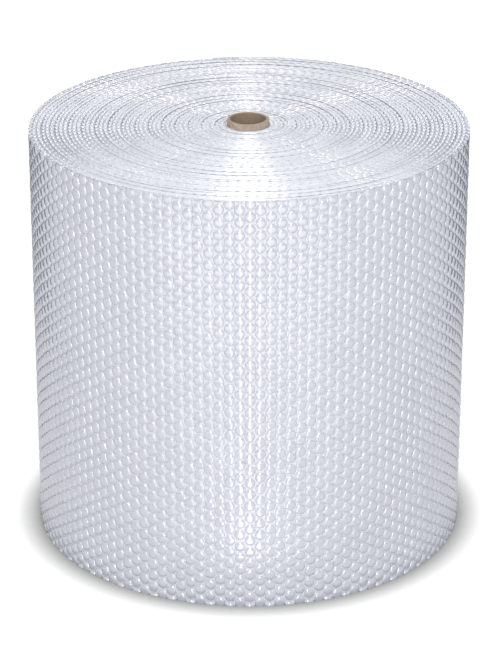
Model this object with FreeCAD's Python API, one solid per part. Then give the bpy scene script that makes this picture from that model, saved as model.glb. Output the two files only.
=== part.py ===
"""A roll of bubble wrap that stands on one end.

The film is wound on a paper tube. Its turns are one solid: both ends show them as a spiral band
that stands above the band beside it. The outside shows the bubbles as six-sided pads in staggered
columns, where one pad stands for a few bubbles each way. The loose end of the film makes a step at the
back. The origin is the middle of the tube's bore at the foot of the roll, and +Z is up along the
tube.
"""
import FreeCAD, Part
import math
import os

# Driving dimensions, in millimetres
web_width = 400.0            # width of the film, which is the height of the roll
roll_diameter = 418.0        # twice the reach of the bubbles at the loose end
core_bore_diameter = 33.5
core_wall = 3.0
core_stand_out = 5.5         # how far the tube stands above the film
core_edge_break = 0.4        # chamfer round the tube's outer edges
winding_gap = 0.2            # between the tube and the first turn of film
turn_thickness = 4.15        # one turn of film with its bubbles, as wound
turns_in_band = 3            # turns that stand level beside each other on either end
band_step = 2.0              # how far a band lies below the next one
inner_land = 1.0             # least film between the tube and the first low band
rim_land = 4.0               # least film between the last low band and the pads
column_spacing = 9.45        # from one upright column of bubbles to the next
bubble_spacing = 11.76       # from one bubble to the next in its column
bubbles_in_pad = 3           # bubbles that a pad stands for, across and up
pad_relief = 2.0             # height of a pad's crown above the valleys round it
pad_point = 4.5              # how far a pad's side corners reach into the columns beside it
crown_share = 0.72           # size of a pad's crown against the whole pad
loose_end_angle = 100.0      # where the film ends, in degrees from +X: the back of the roll

# Sizes that follow from them
roll_radius = roll_diameter / 2
core_bore_radius = core_bore_diameter / 2
core_radius = core_bore_radius + core_wall
core_length = web_width + core_stand_out
film_bore_radius = core_radius + winding_gap
band_width = turns_in_band * turn_thickness
band_pitch = 2 * band_width   # a high band and a low one
columns_in_half_turn = round(math.pi * roll_diameter / column_spacing / bubbles_in_pad / 2)
columns = 2 * columns_in_half_turn
rows = round(web_width / bubble_spacing / bubbles_in_pad)
pad_height = web_width / rows

UP = FreeCAD.Vector(0, 0, 1)
HALF_TURN = 180.0
FULL_TURN = 360.0
BAND_FACETS = 12             # straight lengths that draw half a turn of a band


class Spiral:
    """A spiral of half circles about two centres on X, which grows by pitch with each turn."""

    def __init__(self, start, pitch):
        self.offset = pitch / 4                # from the axis to either centre
        self.first_radius = start + self.offset
        self.step = pitch / 2                  # growth in one half turn

    def point(self, angle, out=0.0, z=0.0):
        """A point at an angle in degrees, over any number of turns, moved out from its centre."""
        half = int(angle // HALF_TURN)
        side = 1 if half % 2 == 0 else -1      # the side of X that this half turn begins on
        radius = self.first_radius + self.step * half + out
        turn = math.radians(angle)
        x = radius * math.cos(turn) - self.offset * side
        return FreeCAD.Vector(x, radius * math.sin(turn), z)


# The outside is the last turn, so its reach falls by one thickness behind the loose end
last_turn = Spiral(roll_radius - turn_thickness, turn_thickness)

# The low band is set out inwards from the rim, with as many half turns as there is room for
rim = roll_radius - turn_thickness - pad_relief - rim_land
room = rim - film_bore_radius - inner_land - band_width
half_turns = int(room // (band_pitch / 2))
band_line = Spiral(rim - band_width - half_turns * band_pitch / 2, band_pitch)


def flat(points):
    """A flat face with these corners."""
    return Part.Face(Part.makePolygon(points + points[:1]))


def corner_angle(side, level):
    """Where the valley left of a column has its corners. Levels are half a pad apart."""
    swing = math.degrees(pad_point / roll_radius)
    return side * FULL_TURN / columns + (swing if (side + level) % 2 == 0 else -swing)


def valley(side, level):
    """A corner of a valley. It zigzags between the columns, but is straight along the loose end."""
    angle = corner_angle(side, level)
    if side in (0, columns):
        angle = side * FULL_TURN / columns
    return last_turn.point(angle, -pad_relief, level * pad_height / 2)


def crown(column, side, level, middle):
    """The corner of a pad's crown that answers to a corner of its valley."""
    centre = (column + 0.5) * FULL_TURN / columns
    angle = centre + (corner_angle(side, level) - centre) * crown_share
    z = (middle + (level - middle) * crown_share) * pad_height / 2
    return last_turn.point(angle, 0, z)


def pad_faces(column, middle):
    """The crown and slopes of the pad with this middle level. At either end it is half a pad."""
    low, high = max(middle - 1, 0), min(middle + 1, 2 * rows)
    left = [(column, level) for level in range(low, high + 1)]
    right = [(column + 1, level) for level in range(high, low - 1, -1)]
    around = left + right
    faces = []
    for start, end in zip(around, around[1:] + around[:1]):
        # The line across a half pad is on the end of the roll, and has no slope
        if start[1] == end[1] == middle:
            continue
        corners = [valley(*start), valley(*end), crown(column, *end, middle)]
        faces.append(flat(corners))
        faces.append(flat([corners[0], corners[2], crown(column, *start, middle)]))
    lower, upper = [crown_line(column, level, middle) for level in (low, high)]
    faces.append(flat([lower[0], lower[1], upper[1], upper[0]]))
    for side, inner in ((column, 0), (column + 1, 1)):
        tip = crown(column, side, middle, middle)
        faces.append(flat([tip, lower[inner], upper[inner]]))
    return faces


def crown_line(column, level, middle):
    """The ends of a crown's foot or top, or of the line across it where it is slit."""
    ends = []
    for side in (column, column + 1):
        corner = middle + 1 if level == middle == 0 else middle - 1 if level == middle else level
        point = crown(column, side, corner, middle)
        point.z = crown(column, side, level, middle).z
        ends.append(point)
    return ends


def end_outline(level):
    """The outline of one end of the roll. Odd columns end in half pads, slit through the middle."""
    points = [valley(0, level)]
    for column in range(1, columns, 2):
        line = crown_line(column, level, level)
        tips = [crown(column, side, level, level) for side in (column, column + 1)]
        points += [valley(column, level), tips[0], line[0], line[1], tips[1], valley(column + 1, level)]
    return points


def low_band(z):
    """The outline of the low band at height z: out along its inner side and back along the other."""
    angles = [HALF_TURN * k / BAND_FACETS for k in range(half_turns * BAND_FACETS + 1)]
    inner = [band_line.point(angle, 0, z) for angle in angles]
    outer = [band_line.point(angle, band_width, z) for angle in angles]
    return inner + outer[::-1]


def end_faces(level, down):
    """One end of the roll, with its bore, and the low band sunk into it by band_step."""
    z = level * pad_height / 2
    rim_line, sunk_line = low_band(z), low_band(z + down * band_step)
    bore = Part.Wire(Part.makeCircle(film_bore_radius, FreeCAD.Vector(0, 0, z)))
    wires = [Part.makePolygon(line + line[:1]) for line in (end_outline(level), rim_line)]
    faces = [Part.makeFace(wires + [bore], "Part::FaceMakerBullseye"), flat(sunk_line)]
    for i in range(len(rim_line)):
        faces.append(flat([rim_line[i - 1], rim_line[i], sunk_line[i], sunk_line[i - 1]]))
    return faces


def loose_end_face():
    """The step from the last turn down to the turn below it."""
    below = [valley(0, level) for level in range(2 * rows + 1)]
    above = [valley(columns, level) for level in range(2 * rows + 1)]
    return flat(below + above[::-1])


def bubble_film():
    """All turns of the film as one closed solid."""
    faces = end_faces(0, 1) + end_faces(2 * rows, -1) + [loose_end_face()]
    faces += [face for face in Part.makeCylinder(film_bore_radius, web_width).Faces
              if face.Surface.TypeId == "Part::GeomCylinder"]
    for column in range(columns):
        # Even columns hold whole pads, and odd ones are half a pad off
        for middle in range(0 if column % 2 else 1, 2 * rows + 1, 2):
            faces += pad_faces(column, middle)
    shell = Part.Shell(faces)
    shell.sewShape()
    film = Part.Solid(shell)
    if film.Volume < 0:
        film.reverse()
    film.rotate(FreeCAD.Vector(0, 0, 0), UP, loose_end_angle)
    return film


def paper_core():
    """The tube that the film is wound on, with its outer edges broken."""
    section = [
        (core_bore_radius, 0),
        (core_radius - core_edge_break, 0),
        (core_radius, core_edge_break),
        (core_radius, core_length - core_edge_break),
        (core_radius - core_edge_break, core_length),
        (core_bore_radius, core_length),
        (core_bore_radius, 0),
    ]
    outline_wire = Part.makePolygon([FreeCAD.Vector(x, 0, z) for x, z in section])
    return Part.Face(outline_wire).revolve(FreeCAD.Vector(0, 0, 0), UP, FULL_TURN)


os.makedirs("parts", exist_ok=True)
for name, shape in (("bubble_film", bubble_film()), ("paper_core", paper_core())):
    shape.exportStep("parts/" + name + ".step")
    box = shape.BoundBox
    print(name, shape.ShapeType, "valid", shape.isValid(), "faces", len(shape.Faces))
    print("  volume", round(shape.Volume / 1000, 2), "cm3, box", round(box.XLength, 2),
          round(box.YLength, 2), round(box.ZLength, 2))
print("pads", columns, "round and", rows, "up; half turns of the low band", half_turns)
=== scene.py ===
# %% [markdown]
# A roll of bubble wrap stands on its end: one long web of film with air bubbles, wound on a
# paper tube. It is modelled the way that it is made. The film is laid out flat, gets its
# bubbles, and is then wound. The tube comes ready from the frame, which holds its true size.
# The film's solid in the frame is plain, so the film is modelled here again, bubble by bubble.

# %% Load the frame
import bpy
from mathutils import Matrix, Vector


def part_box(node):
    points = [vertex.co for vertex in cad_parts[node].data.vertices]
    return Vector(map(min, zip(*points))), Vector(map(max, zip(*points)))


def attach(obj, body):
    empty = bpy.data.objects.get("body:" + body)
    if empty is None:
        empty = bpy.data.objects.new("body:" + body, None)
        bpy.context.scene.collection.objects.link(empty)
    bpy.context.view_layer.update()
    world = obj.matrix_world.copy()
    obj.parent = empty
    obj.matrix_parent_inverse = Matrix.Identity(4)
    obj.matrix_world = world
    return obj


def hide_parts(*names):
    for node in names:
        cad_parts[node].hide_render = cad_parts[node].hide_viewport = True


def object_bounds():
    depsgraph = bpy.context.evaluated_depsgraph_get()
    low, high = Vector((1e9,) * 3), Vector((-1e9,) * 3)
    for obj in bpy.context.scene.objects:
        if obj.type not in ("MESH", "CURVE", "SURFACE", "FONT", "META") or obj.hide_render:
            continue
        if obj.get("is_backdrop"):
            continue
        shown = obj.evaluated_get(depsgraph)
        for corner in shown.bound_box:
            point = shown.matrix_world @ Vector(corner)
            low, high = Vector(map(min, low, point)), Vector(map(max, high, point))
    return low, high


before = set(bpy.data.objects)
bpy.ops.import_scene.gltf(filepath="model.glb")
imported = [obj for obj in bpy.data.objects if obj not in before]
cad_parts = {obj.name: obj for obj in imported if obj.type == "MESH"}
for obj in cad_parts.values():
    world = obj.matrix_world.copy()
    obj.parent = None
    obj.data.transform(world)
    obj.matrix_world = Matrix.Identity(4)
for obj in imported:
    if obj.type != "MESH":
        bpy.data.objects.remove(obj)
cad_box = [list(corner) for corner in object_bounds()]

import math

import bpy
import numpy as np
from mathutils import Vector

film_low, film_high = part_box("bubble_film")
tube_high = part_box("paper_core")[1]
web_width = film_high.z - film_low.z
print("film", round(web_width, 4), "m high, tube to", round(tube_high.z, 4), "m")

# %% [markdown]
# The camera comes first, because every later choice is judged through it. The roll is seen
# from a little above its top, with a long lens, from about two and a half metres away. A long
# lens keeps the sides of the roll nearly parallel, and the small taper that is left gives the
# distance. The picture is 664 pixels high, and the sensor's width of 36 mm lies along that.

# %% Camera
picture_height = 664
focal_pixels = 2735.0
sensor = 36.0
camera_distance = 2.433
camera_height = 1.236
camera_pitch = math.radians(23.31)

camera_data = bpy.data.cameras.new("camera")
camera_data.sensor_width = sensor
camera_data.lens = focal_pixels / picture_height * sensor
camera = bpy.data.objects.new("camera", camera_data)
camera.location = (0.0, -camera_distance, camera_height)
camera.rotation_euler = (math.radians(90) - camera_pitch, 0.0, 0.0)
bpy.context.scene.collection.objects.link(camera)
bpy.context.scene.camera = camera
print("lens", round(camera_data.lens, 1), "mm")

# %% [markdown]
# Shader maths reads best as plain arithmetic. The class below wraps a socket, so that an
# expression such as `1 - mask * 0.3` adds its Math nodes by itself. Every other node comes
# from one method, `node`, which takes the node's type, its settings, and what goes into it.

# %% A socket that does arithmetic


class Socket:
    """A shader socket, or a number, that can be added, multiplied and so on."""

    def __init__(self, tree, value):
        self.tree = tree
        self.value = value

    def feed(self, socket):
        """Links this value to a node's input, or sets the input where it is a plain number."""
        if isinstance(self.value, bpy.types.NodeSocket):
            self.tree.links.new(self.value, socket)
        else:
            socket.default_value = self.value

    def node(self, kind, settings=None, output=0, **inputs):
        """A new node of any kind. Inputs go by name, or by number as i0, i1 and so on."""
        made = self.tree.nodes.new(kind)
        for name, value in (settings or {}).items():
            setattr(made, name, value)
        for name, value in inputs.items():
            index = int(name[1:]) if name[1:].isdigit() else name.replace("_", " ")
            wrap(self.tree, value).feed(made.inputs[index])
        return Socket(self.tree, made.outputs[output])

    def maths(self, operation, other=0.0):
        """A Math node of this operation, on this value and one other."""
        return self.node("ShaderNodeMath", {"operation": operation}, i0=self, i1=other)

    def __add__(self, other):
        return self.maths("ADD", other)

    def __sub__(self, other):
        return self.maths("SUBTRACT", other)

    def __mul__(self, other):
        return self.maths("MULTIPLY", other)

    def __rsub__(self, other):
        return wrap(self.tree, other).maths("SUBTRACT", self)

    __radd__ = __add__

    def between(self, low, high):
        """0 at low and 1 at high, with soft ends."""
        settings = {"interpolation_type": "SMOOTHSTEP"}
        return self.node("ShaderNodeMapRange", settings, i0=self, i1=low, i2=high)

    def mix(self, first, second):
        """A colour from first to second, by this value."""
        settings = {"data_type": "RGBA"}
        return self.node("ShaderNodeMix", settings, 2, Factor=self, i6=first, i7=second)


def wrap(tree, value):
    """The value as a Socket, whatever it was."""
    return value if isinstance(value, Socket) else Socket(tree, value)


print("sockets add, subtract, multiply, blend and mix")

# %% [markdown]
# Film and board both begin the same way: a new material, the coordinates of the piece, and
# cloudy noise in metres. Each gets a helper, so a finish below says only what is its own.

# %% The start of a material


def new_material(name):
    """A material, its finish node, and a Socket with the piece's own coordinates."""
    material = bpy.data.materials.new(name)
    material.use_nodes = True
    tree = material.node_tree
    finish = tree.nodes["Principled BSDF"]
    place = Socket(tree, None).node("ShaderNodeTexCoord", output="Object")
    return material, finish, place


def noise(place, scale, detail=2.0, stretch=(1, 1, 1)):
    """Soft cloudy noise from 0 to 1, with scale in features to the metre."""
    stretched = place.node("ShaderNodeMapping", Vector=place, Scale=stretch)
    return place.node("ShaderNodeTexNoise", Vector=stretched, Scale=scale, Detail=detail)


# %% [markdown]
# Each turn of the film lies one thickness outside the turn below it. These four sizes say how
# the roll is wound, in metres. They come before the finish of the film, which needs them too.

# %% Sizes of the winding
turn_thickness = 0.00415
bubble_height = 0.0040
outer_reach = 0.209
loose_end = math.radians(100.0)
print("the tops of the bubbles reach", outer_reach, "m at the loose end")

# %% [markdown]
# Clear film looks white here, because light is scattered by some forty turns of it. Glass
# would be the honest shader for one layer, but forty layers of it are slow and noisy. So the
# film is a pale solid with a strong gloss, a trace of lavender in its colour, and small
# wrinkles. A bubble's steep sides gather more of that light than its top, so they are painted
# paler, a painted highlight. So the finish works out its own height above the film, by the rule
# that the roll is wound by. The sealed film between the bubbles gets the same painted paleness.

# %% Film material
paler_below = 0.50
as_top_above = 0.80
cloud_scale = 38.0
smear_scale = 420.0
crease_scale = 260.0


def side_of_bubble(place):
    """1 low on a bubble's sides and 0 on its top, from the piece's own coordinates."""
    x, y, z = [place.node("ShaderNodeSeparateXYZ", output=axis, Vector=place) for axis in range(3)]
    radius = (x * x + y * y).maths("SQRT")
    turned = ((loose_end - y.maths("ARCTAN2", x)) * (0.5 / math.pi)).maths("FRACT")
    height = radius + turned * turn_thickness - (outer_reach - bubble_height)
    return 1 - height.between(bubble_height * paler_below, bubble_height * as_top_above)


def film_material(name, pale, shade, rough, wrinkle=0.0002, gloss=2.2, painted_wall_light=None):
    """Film between two colours in soft clouds, with wrinkles of the given depth in metres."""
    material, finish, place = new_material(name)
    cloud = noise(place, cloud_scale, 3.0).between(0.3, 0.7)
    colour = cloud.mix(shade, pale)
    # Painted highlight: low on a bubble's sides the colour turns to the paler one, for the light
    # that the sides gather.
    if painted_wall_light:
        colour = side_of_bubble(place).mix(colour, painted_wall_light)
    colour.feed(finish.inputs["Base Color"])
    smear = noise(place, smear_scale)
    (rough + smear * 0.1).feed(finish.inputs["Roughness"])
    creases = noise(place, crease_scale, 3.0)
    bump = place.node("ShaderNodeBump", Height=creases, Distance=wrinkle, Strength=0.6)
    bump.feed(finish.inputs["Normal"])
    finish.inputs["IOR"].default_value = gloss
    finish.inputs["Specular IOR Level"].default_value = 1.0
    print(name, "has", len(material.node_tree.nodes), "nodes")
    return material


# A paler film colour, painted light: the bubbles' sides and the sealed film get it, for the light
# that they gather.
painted_light_film = (0.84, 0.855, 0.92, 1)
bubble_finish = film_material("bubble_film", (0.57, 0.597, 0.705, 1), (0.53, 0.556, 0.66, 1),
                              rough=0.10, wrinkle=0.00005, painted_wall_light=painted_light_film)
# The sealed film takes the paler colour too, painted light where the valleys would lie in shade.
sealed_finish = film_material("sealed_film", painted_light_film, (0.80, 0.815, 0.88, 1),
                              rough=0.3, gloss=1.5)
edge_finish = film_material("cut_film_edges", (0.81, 0.835, 0.915, 1), (0.73, 0.755, 0.84, 1),
                            rough=0.25)

# %% [markdown]
# The tube is brown board, wound from glued strips in a spiral, so a seam climbs round it.
# Its shape needs nothing more, so the frame's own solid stays and only gets this finish.
# Fibres give the board a fine grain, the cut end shows its plies, and the bore gets a painted
# shade, darker because little light gets down it.

# %% Tube material
ply_thickness = 0.0005
strip_width = 0.075
seam_share = 0.012
fibre_scale = 900.0
stain_scale = 70.0
bore_radius = 0.01675


def board_material():
    """Brown board wound in a spiral, with its plies showing on the cut ends."""
    material, finish, place = new_material("spiral_wound_board")
    x, y, z = [place.node("ShaderNodeSeparateXYZ", output=axis, Vector=place) for axis in range(3)]
    fibre = noise(place, fibre_scale, 3.0, (1, 1, 0.35))
    stain = noise(place, stain_scale, 3.0)
    radius = (x * x + y * y).maths("SQRT")
    plies = (radius * (2 * math.pi / ply_thickness)).maths("SINE") * 0.5 + 0.5
    cut_end = z.between(tube_high.z - 0.0004, tube_high.z - 0.0001)
    wound = y.maths("ARCTAN2", x) * (1 / (2 * math.pi)) + z * (1 / strip_width)
    along = wound.maths("FRACT")
    seam = 1 - along.between(0.0, seam_share) + along.between(1.0 - seam_share, 1.0)
    tone = (fibre * 0.6 + stain * 0.4).between(0.3, 0.7)
    # Painted shade: the bore's wall is darkened because little light gets down it.
    bore = 1 - radius.between(bore_radius + 0.0002, bore_radius + 0.0006)
    shade = tone - plies * cut_end * 0.4 - seam * 0.6 - bore * 0.7
    # The board's colour: grain, stains, seam and plies, with the painted shade in the bore.
    grain_and_painted_bore_shade = shade.maths("MAXIMUM", 0.0).mix((0.46, 0.36, 0.27, 1), (0.71, 0.585, 0.48, 1))
    grain_and_painted_bore_shade.feed(finish.inputs["Base Color"])
    finish.inputs["Roughness"].default_value = 0.85
    depth = fibre - seam * 2.0 - plies * cut_end
    bump = place.node("ShaderNodeBump", Height=depth, Distance=0.0002, Strength=0.7)
    bump.feed(finish.inputs["Normal"])
    return material


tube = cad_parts["paper_core"]
tube.material_slots[0].material = board_material()
print("tube", round(tube_high.x * 2, 4), "m across, bore", bore_radius * 2, "m")

# %% [markdown]
# Winding is one rule for the whole roll. A point of the flat film has a length from the loose
# end, a place across the width and a height above the film. Each turn is one thickness nearer
# to the tube than the turn outside it, so the number of turns wound by some length follows
# from the area that it covers. The same rule places bubbles, film and slit edges.

# %% Winding
columns_in_last_turn = 139
rows = 34
last_turn_length = 2 * math.pi * (outer_reach - turn_thickness / 2)
column_step = last_turn_length / columns_in_last_turn
row_step = web_width / rows
gap_round_tube = 0.0002
innermost = tube_high.x + gap_round_tube
turns = (outer_reach - innermost) / turn_thickness


def turns_at(length):
    """How many turns lie between the loose end and a length of film."""
    room = outer_reach**2 - turn_thickness * length / math.pi
    return (outer_reach - np.sqrt(room)) / turn_thickness


def length_at(turn):
    """The length of film in a number of turns, counted from the loose end."""
    return 2 * math.pi * (outer_reach * turn - turn_thickness * turn**2 / 2)


def wind(length, across, height):
    """Places on the roll for points of the flat film, as an array of corners."""
    turn = turns_at(length)
    angle = loose_end - 2 * math.pi * turn
    radius = np.maximum(outer_reach - turn_thickness * turn - bubble_height + height, innermost)
    return np.stack([radius * np.cos(angle), radius * np.sin(angle), across], axis=1)


print("turns", round(turns, 2), "film", round(float(length_at(turns)), 2), "m long")
print("bubbles are", round(column_step * 1000, 2), "by", round(row_step * 1000, 2), "mm apart")

# %% [markdown]
# Some small helpers for modelling by operators. An operator works on whatever is selected, so
# each step begins by clearing the selection and making one object active. The first helpers
# copy, move, repeat and slit flat film. The others read and set the corners of a mesh, which
# is how the flat film gets wound, and give a finished piece its name, finish and body.

# %% Modelling helpers


def pick(*objects):
    """Selects only these objects, and makes the first one active."""
    bpy.ops.object.select_all(action="DESELECT")
    for piece in objects:
        piece.select_set(True)
    bpy.context.view_layer.objects.active = objects[0]


def twin(piece):
    """A copy with a mesh of its own."""
    pick(piece)
    bpy.ops.object.duplicate(linked=False)
    return bpy.context.object


def shift(piece, x=0.0, y=0.0):
    """Moves a piece and settles the move into its mesh."""
    pick(piece)
    bpy.ops.transform.translate(value=(x, y, 0.0))
    bpy.ops.object.transform_apply(location=True, rotation=False, scale=False)


def repeat(piece, count, x=0.0, y=0.0):
    """Repeats a piece at a step along the film or across it."""
    pick(piece)
    array = piece.modifiers.new("repeat", "ARRAY")
    array.count = count
    array.use_relative_offset = False
    array.use_constant_offset = True
    array.constant_offset_displace = (x, y, 0.0)
    bpy.ops.object.modifier_apply(modifier=array.name)


def corners(piece):
    """The corners of a piece's mesh, one to a row."""
    flat = np.zeros(len(piece.data.vertices) * 3, np.float32)
    piece.data.vertices.foreach_get("co", flat)
    return flat.reshape(-1, 3).astype(float)


def place_corners(piece, points):
    """Moves the corners of a piece's mesh to these points."""
    piece.data.vertices.foreach_set("co", points.astype(np.float32).ravel())
    piece.data.update()


def slit(piece, across, keep):
    """Slits a piece along the film, and keeps the side above (1) or below (-1) the cut."""
    pick(piece)
    bpy.ops.object.mode_set(mode="EDIT")
    bpy.ops.mesh.select_all(action="SELECT")
    plane = {"plane_co": (0, across, 0), "plane_no": (0, -keep, 0)}
    bpy.ops.mesh.bisect(clear_outer=True, **plane)
    bpy.ops.object.mode_set(mode="OBJECT")


def turn_over(piece):
    """Turns the faces of a piece over, so that their fronts look the other way."""
    pick(piece)
    bpy.ops.object.mode_set(mode="EDIT")
    bpy.ops.mesh.select_all(action="SELECT")
    bpy.ops.mesh.flip_normals()
    bpy.ops.object.mode_set(mode="OBJECT")


def finish_piece(piece, name, material):
    """Name, finish and body of a finished piece of the film."""
    piece.name = name
    piece.data.name = name
    piece.data.materials.clear()
    piece.data.materials.append(material)
    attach(piece, "root")
    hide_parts("bubble_film")
    print(name, len(piece.data.polygons), "faces")


# %% [markdown]
# A bubble is a round cell, drawn into the film as a low dome with steep sides and a nearly flat
# top. There are thousands of them, so a bubble gets few faces: a ten-sided ring, extruded up
# and drawn in four times, and closed with a fan. Smooth shading hides the corners at this size.
# Each pair below is one ring: its share of the bubble's radius, and its share of the height.

# %% One bubble
bubble_radius = 0.0057
bubble_sides = 10
bubble_rings = ((0.98, 0.40), (0.89, 0.70), (0.72, 0.88), (0.42, 0.965))


def model_bubble():
    """The dome of one bubble, open below, with its middle at the origin."""
    bpy.ops.object.select_all(action="DESELECT")
    bpy.ops.mesh.primitive_circle_add(vertices=bubble_sides, radius=bubble_radius)
    dome = bpy.context.object
    bpy.ops.object.mode_set(mode="EDIT")
    bpy.ops.mesh.select_all(action="SELECT")
    width, level = 1.0, 0.0
    for ring_width, ring_level in bubble_rings:
        rise = (ring_level - level) * bubble_height
        bpy.ops.mesh.extrude_region_move(TRANSFORM_OT_translate={"value": (0, 0, rise)})
        shrink = ring_width / width
        bpy.ops.transform.resize(value=(shrink, shrink, 1.0))
        width, level = ring_width, ring_level
    bpy.ops.mesh.edge_face_add()
    bpy.ops.mesh.poke(offset=(1.0 - level) * bubble_height)
    bpy.ops.mesh.select_all(action="SELECT")
    bpy.ops.mesh.normals_make_consistent(inside=False)
    bpy.ops.object.mode_set(mode="OBJECT")
    return dome


bubble = model_bubble()
print("one bubble has", len(bubble.data.polygons), "faces")

# %% [markdown]
# Bubbles stand in columns across the film, and each column is half a step off from the next.
# So the pattern repeats every two columns. The film is slit from a wider web wherever the knife
# falls, here a quarter of a step from a bubble's middle, so both edges cut through bubbles.
# A column is an array that runs past both edges of the film, and is then slit at them.

# %% Two columns of bubbles
row_offsets = (0.25, -0.25)


def model_columns():
    """Two neighbouring columns of bubbles, slit to the width of the film."""
    first, second = twin(bubble), twin(bubble)
    shift(first, x=column_step / 2, y=row_step * row_offsets[0])
    shift(second, x=column_step * 1.5, y=row_step * row_offsets[1])
    for column in (first, second):
        repeat(column, rows + 1, y=row_step)
    pick(first, second)
    bpy.ops.object.join()
    slit(first, 0.0, 1)
    slit(first, web_width, -1)
    return first


pair = model_columns()
print("two columns have", len(pair.data.polygons), "faces")

# %% [markdown]
# No two bubbles are quite alike: some are fuller, some lean, and none sits exactly in its place.
# Each corner finds the bubble that it belongs to, which is simply the nearest place in the
# pattern, and moves with that bubble's own small errors. The errors are drawn once, from a
# fixed seed, so every run gives the same roll.

# %% Unevenness
spare_columns = 12
most_full = 1.12
fullness_spread = 0.02
lean_spread = 0.012
slip_spread = 0.00018
chance = np.random.RandomState(7)
error_columns = columns_in_last_turn + spare_columns
error_rows = rows + 2
fullness = 1.0 + fullness_spread * chance.standard_normal((error_columns, error_rows))
lean = lean_spread * chance.standard_normal((error_columns, error_rows, 2))
slip = slip_spread * chance.standard_normal((error_columns, error_rows, 2))


def ruffle(points):
    """The same points with the unevenness of real bubbles."""
    nearest = np.full(len(points), np.inf)
    owner = np.zeros((len(points), 2), int)
    column_here = np.floor(points[:, 0] / column_step).astype(int)
    for step in (-1, 0, 1):
        column = column_here + step
        offset = np.where(column % 2 == 0, *row_offsets)
        row = np.round(points[:, 1] / row_step - offset).astype(int)
        x = (column + 0.5) * column_step
        y = (row + offset) * row_step
        away = (points[:, 0] - x) ** 2 + (points[:, 1] - y) ** 2
        closer = away < nearest
        nearest[closer] = away[closer]
        owner[closer] = np.stack([column, row], 1)[closer]
    column = owner[:, 0] % error_columns
    row = owner[:, 1] % error_rows
    moved = points.copy()
    moved[:, 2] *= np.minimum(fullness[column, row], most_full)
    on_slit = (points[:, 1] < 1e-6) | (points[:, 1] > web_width - 1e-6)
    push = slip[column, row] + lean[column, row] * points[:, 2:]
    moved[:, 0] += push[:, 0]
    moved[:, 1] += np.where(on_slit, 0.0, push[:, 1])
    return moved


print("errors drawn for", error_columns, "by", error_rows, "bubbles")

# %% [markdown]
# The last turn of the film carries all the bubbles that show, and runs on a little under its own
# loose end. The pair of columns is repeated along it, made uneven while it is still flat, and
# then wound. It comes in four lengths, to keep each mesh light.

# %% The bubbles of the last turn
pairs_in_all = (columns_in_last_turn + 3) // 2
lengths = 4
for number in range(lengths):
    first = pairs_in_all * number // lengths
    last = pairs_in_all * (number + 1) // lengths
    stretch = twin(pair)
    repeat(stretch, last - first, x=2 * column_step)
    shift(stretch, x=first * 2 * column_step)
    flat = ruffle(corners(stretch))
    place_corners(stretch, wind(flat[:, 0], flat[:, 1], flat[:, 2]))
    pick(stretch)
    bpy.ops.object.shade_smooth()
    finish_piece(stretch, "bubbles_" + str(number + 1), bubble_finish)

for spare in (pair, bubble):
    bpy.data.objects.remove(spare)

# %% [markdown]
# Between the bubbles the two films are sealed together. The film between close bubbles is drawn
# up with them, so only narrow valleys show. It is one long grid, wound by the same rule at half
# the bubbles' height, with two squares to a bubble each way. A plain grid hides every gap.

# %% The sealed film between the bubbles
seal_height = 0.0020
sealed_length = pairs_in_all * 2 * column_step


def model_sealed_film():
    """The film between the bubbles of the last turn, as one wound sheet."""
    bpy.ops.object.select_all(action="DESELECT")
    along, over = pairs_in_all * 4, rows * 2
    bpy.ops.mesh.primitive_grid_add(x_subdivisions=along, y_subdivisions=over, size=1.0)
    sheet = bpy.context.object
    flat = corners(sheet)
    length = (flat[:, 0] + 0.5) * sealed_length
    across = (flat[:, 1] + 0.5) * web_width
    place_corners(sheet, wind(length, across, np.full(len(flat), seal_height)))
    turn_over(sheet)
    bpy.ops.object.shade_smooth()
    return sheet


finish_piece(model_sealed_film(), "sealed_film", sealed_finish)

# %% [markdown]
# Each end of the roll shows the slit edges of all its turns. The flat film makes a plain line,
# and the bubble film swings out from it at every bubble that the slit cut open. How far it
# swings out depends on how near the slit passes to the bubble's middle.

# %% The slit edge
slit_at = abs(row_offsets[0]) * row_step
roundness = 2.6


def arch(length):
    """How far the bubble film stands out at the slit edge, from 0 to 1."""
    along = (length / column_step % 1.0 - 0.5) * column_step
    reach = np.minimum(np.hypot(along, slit_at) / bubble_radius, 1.0)
    highest = 1.0 - (slit_at / bubble_radius) ** roundness
    return ((1.0 - reach**roundness) / highest) ** 0.5


at_bubble, between_two = arch(column_step * 0.5), arch(0.0)
print("the edge stands out", round(float(at_bubble), 2), "of the way at a bubble and",
      round(float(between_two), 2), "between two")

# %% [markdown]
# Modelling the edge turn by turn would take a mesh for each, so it is one long strip of five
# lines: the film, the open bubble, its rim, the groove behind it, and the next turn. The strip
# is wound through all turns. A real roll shows rings a few turns apart, so every third turn
# has a deeper groove, and the strip rises and falls a little, because no web winds level.

# %% The ends of the roll
edge_step = column_step / 4
edge_lines = 5
film_line = 0.0003
slit_height = 0.0037
turns_in_band = 3
groove_depth = 0.0030
gap_depth = 0.0009
wander = 0.0003
wander_waves = (61.0, 23.0)
uneven = 0.0005
uneven_waves = 9.0


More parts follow.
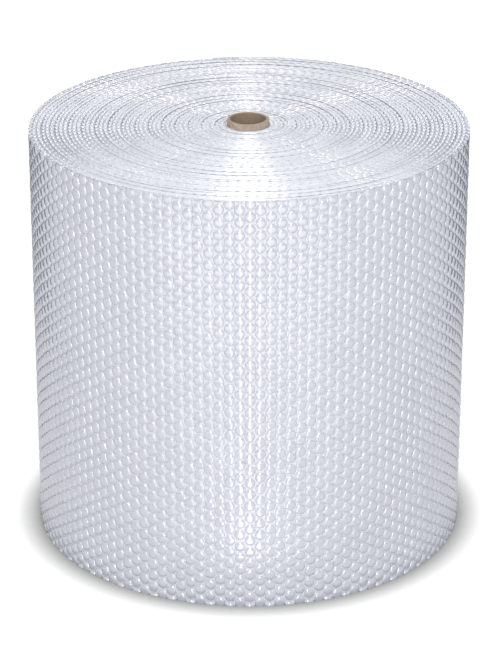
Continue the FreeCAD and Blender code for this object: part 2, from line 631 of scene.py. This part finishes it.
def model_end(level, sign):
    """The slit edges at one end. Sign is +1 at the top and -1 at the foot."""
    bpy.ops.object.select_all(action="DESELECT")
    total = float(length_at(turns))
    count = int(total / edge_step)
    bpy.ops.mesh.primitive_grid_add(x_subdivisions=count, y_subdivisions=edge_lines - 1, size=1.0)
    strip = bpy.context.object
    flat = corners(strip)
    length = (flat[:, 0] + 0.5) * total
    line = np.round((flat[:, 1] + 0.5) * (edge_lines - 1)).astype(int)
    out = arch(length)
    turn = turns_at(length)
    swing = film_line + (slit_height - film_line) * out
    quick, slow = wander_waves
    swing = swing + wander * np.sin(quick * length) * np.sin(slow * length + 1.0)
    last_turn = length < last_turn_length
    out_to = np.where(last_turn, swing, turn_thickness)
    height = np.choose(line, [0 * swing, swing * 0.5, swing, (swing + out_to) / 2, out_to])
    groove = np.where(np.floor(turn) % turns_in_band == 0, groove_depth, gap_depth)
    sink = np.choose(line, [0 * out, gap_depth * out, 0 * out, groove, 0 * out])
    sink = np.where(last_turn & (line >= 3), 0.0, sink)
    across = level - sign * (sink + uneven * np.sin(uneven_waves * length) ** 2)
    place_corners(strip, wind(length, across, height))
    if sign > 0:
        turn_over(strip)
    return strip


finish_piece(model_end(web_width, 1), "film_edges_top", edge_finish)
finish_piece(model_end(0.0, -1), "film_edges_foot", edge_finish)

# %% [markdown]
# The roll is shown on plain white. The world is white wherever it shows, straight to the camera
# or in a reflection, but lights the roll much less than that, so that the lamps can shape it.
# A ray knows what it is for, which tells the two apart.

# %% The white world
white = (1.0, 1.0, 1.0, 1.0)
black = (0.0, 0.0, 0.0, 1.0)
world_level = 0.41


def shows_background(place):
    """1 for rays that show the background itself: from the camera, mirrored or let through."""
    kinds = ("Is Camera Ray", "Is Glossy Ray", "Is Transmission Ray")
    camera_ray, glossy, clear = [place.node("ShaderNodeLightPath", output=kind) for kind in kinds]
    return camera_ray.maths("MAXIMUM", glossy).maths("MAXIMUM", clear)


def make_world(level):
    """A white world that lights the roll at this level."""
    world = bpy.data.worlds.new("studio")
    world.use_nodes = True
    bpy.context.scene.world = world
    background = world.node_tree.nodes["Background"]
    background.inputs["Color"].default_value = white
    shown = shows_background(Socket(world.node_tree, None))
    (shown * (1.0 - level) + level).feed(background.inputs["Strength"])


make_world(world_level)
print("the world lights the roll at", world_level)

# %% [markdown]
# The floor is white too. Its own glow and the lamps' light on it add up to plain white, so it
# shows no edge against the world. A glow would swallow the shadow at the foot of the roll, so
# glow and colour both fall off in the last few centimetres, where less of the sky is open: a
# painted contact shadow.

# %% Floor
floor_size = 40.0
floor_glow = 0.9
shadow_reach = 0.03
painted_shadow_colour_fall = 2.5
painted_shadow_glow_fall = 1.5


def make_floor():
    """A white floor with a painted contact shadow where something stands close to it."""
    bpy.ops.object.select_all(action="DESELECT")
    bpy.ops.mesh.primitive_plane_add(size=floor_size)
    floor = bpy.context.object
    floor.name = "floor"
    material, finish, place = new_material("white_floor")
    shown = shows_background(place)
    # Painted contact shadow: ambient occlusion darkens the floor's colour and glow near the roll.
    openness = place.node("ShaderNodeAmbientOcclusion", {"samples": 8}, 1, Distance=shadow_reach)
    colour = openness.maths("POWER", painted_shadow_colour_fall)
    painted_shadow_colour = colour.mix((0.02, 0.02, 0.02, 1.0), (0.3, 0.3, 0.3, 1.0))
    shown.mix((0.8, 0.8, 0.8, 1.0), painted_shadow_colour).feed(finish.inputs["Base Color"])
    finish.inputs["Roughness"].default_value = 1.0
    finish.inputs["Specular IOR Level"].default_value = 0.0
    light = shown * openness.maths("POWER", painted_shadow_glow_fall)
    light.mix(black, white).feed(finish.inputs["Emission Color"])
    finish.inputs["Emission Strength"].default_value = floor_glow
    floor.data.materials.append(material)
    floor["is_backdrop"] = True


make_floor()
print("floor", floor_size, "m wide")

# %% [markdown]
# On white, a pale roll loses its outline. A photographer stands a black card on either side,
# just out of the picture, and the roll's edges mirror it and turn grey. The cards stand behind
# the middle of the roll, hidden from the camera, and clear of the floor, so that it stays white.

# %% Black cards
card_size = (0.7, 1.4)
card_away = 0.42
card_behind = 0.80
card_height = 0.41


def make_flag(side):
    """A black card beside the roll, on the left (-1) or the right (1)."""
    bpy.ops.object.select_all(action="DESELECT")
    bpy.ops.mesh.primitive_plane_add(size=1.0)
    flag = bpy.context.object
    flag.name = "flag_" + ("left" if side < 0 else "right")
    bpy.ops.transform.resize(value=(*card_size, 1.0))
    upright = math.radians(90)
    bpy.ops.transform.rotate(value=upright, orient_axis="Y", center_override=(0, 0, 0))
    bpy.ops.transform.translate(value=(side * card_away, card_behind, card_height))
    material, finish, place = new_material(flag.name)
    finish.inputs["Base Color"].default_value = (0.02, 0.02, 0.02, 1.0)
    finish.inputs["Roughness"].default_value = 1.0
    flag.data.materials.append(material)
    flag.visible_camera = False
    flag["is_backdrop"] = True
    print(flag.name, "stands", card_away, "m from the middle of the roll")


make_flag(-1)
make_flag(1)

# %% [markdown]
# Three narrow strip lamps lie along the middle plane of the picture: in front, overhead and
# low. Bubbles in the middle of the roll mirror them as upright lines, and bubbles at the sides
# as a stroke on the shoulder that faces the middle. The low strip is there because an upright
# wall, seen from above, mirrors what is low. The low fill lifts the foot, and the back fill
# lights the far side.

# %% Lamps


def lamp(name, power, size, place, aim=(0.0, 0.0, 0.25)):
    """A rectangular lamp with its size across and up, turned to the point that it aims at."""
    data = bpy.data.lights.new(name, "AREA")
    data.shape = "RECTANGLE"
    data.size, data.size_y = size
    data.energy = power
    made = bpy.data.objects.new(name, data)
    bpy.context.scene.collection.objects.link(made)
    made.location = place
    made.visible_camera = False
    made.rotation_mode = "QUATERNION"
    toward = [a - b for a, b in zip(aim, place)]
    made.rotation_quaternion = Vector(toward).to_track_quat("-Z", "Y")
    print(name, power, "W,", size[0], "by", size[1], "m")


lamp("front_strip", 29.0, (0.13, 3.96), (0.0, -2.4, 1.63), (0.0, -0.49, 0.18))
lamp("low_strip", 0.58, (0.04, 2.0), (0.0, -1.25, 0.03), (0.0, -1.25, 1.0))
lamp("low_fill", 4.0, (1.6, 1.4), (0.0, -1.4, 0.02), (0.0, -1.4, 1.0))
lamp("top_strip", 9.0, (0.10, 2.6), (0.0, -0.6, 2.0), (0.0, -0.6, 0.4))
lamp("back_fill", 9.0, (1.5, 1.0), (0.0, 2.4, 0.7))
bpy.context.scene.view_settings.view_transform = "Standard"

# %% [markdown]
# Last come the sizes. The looks must not change the roll's size, so its box as packed and its
# box as drawn are kept side by side.

# %% Sizes and finish
visual_box = [list(corner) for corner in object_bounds()]
for state, box in (("packed", cad_box), ("drawn", visual_box)):
    print(state, [[round(value, 4) for value in corner] for corner in box])
